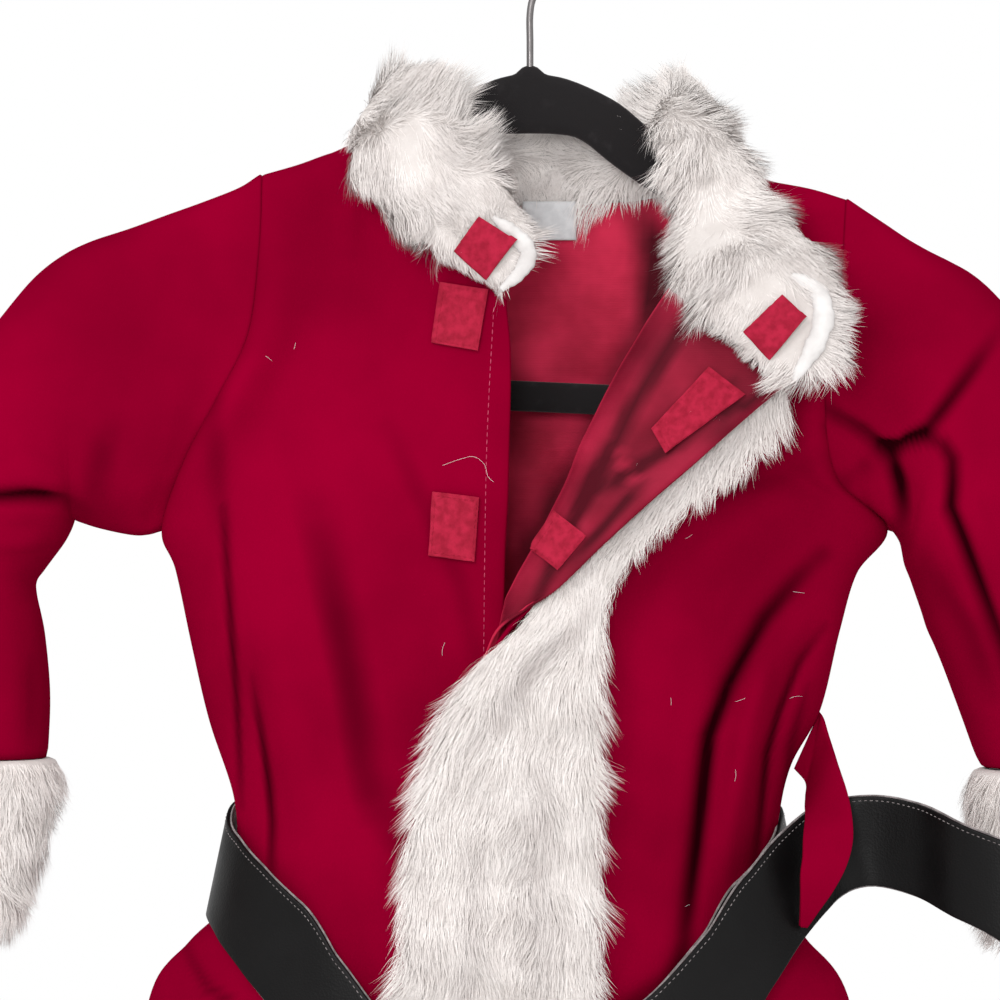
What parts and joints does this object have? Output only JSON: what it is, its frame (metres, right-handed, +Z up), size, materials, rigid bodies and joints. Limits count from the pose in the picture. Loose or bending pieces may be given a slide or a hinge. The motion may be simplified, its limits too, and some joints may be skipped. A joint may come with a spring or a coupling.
{
  "type": "santa suit jacket on a hanger",
  "caption": "Child's red velvet Santa suit jacket with white fur collar, front band and cuffs and a black belt, hung open on a thin black hanger.",
  "frame": {"origin": "the inside top of the hanger hook's crown, where the hook hangs on a rail", "axes": "+Z up; -Y the front, towards a viewer who faces the jacket; +X the wearer's left"},
  "size_m": [0.597, 0.1411, 0.6355],
  "materials": {
    "velvet": "short velvet pile",
    "satin": "satin lining",
    "fur": "faux fur pile",
    "tape": "hook-and-loop tape",
    "label": "woven satin label, blank",
    "vinyl": "soft gloss vinyl on a cloth backing",
    "flocked_plastic": "flocked",
    "wire": "dark wire",
    "buckle_metal": "satin"
  },
  "bodies": {
    "root": {"back": "velvet", "back_lining": "satin", "belt": "vinyl", "belt_loop": "velvet", "buckle": "buckle_metal", "collar": "fur", "collar_pad_left": "tape", "collar_pad_right": "tape", "cuff_left": "fur", "cuff_right": "fur", "front_left": "velvet", "front_left_lining": "satin", "front_right": "velvet", "hanger_body": "flocked_plastic", "hanger_hook": "wire", "hook_pad_lower": "tape", "hook_pad_upper": "tape", "label": "label", "loop_pad_lower": "tape", "loop_pad_upper": "tape", "placket": "fur", "sleeve_left": "velvet", "sleeve_right": "velvet"}
  },
  "joints": []
}
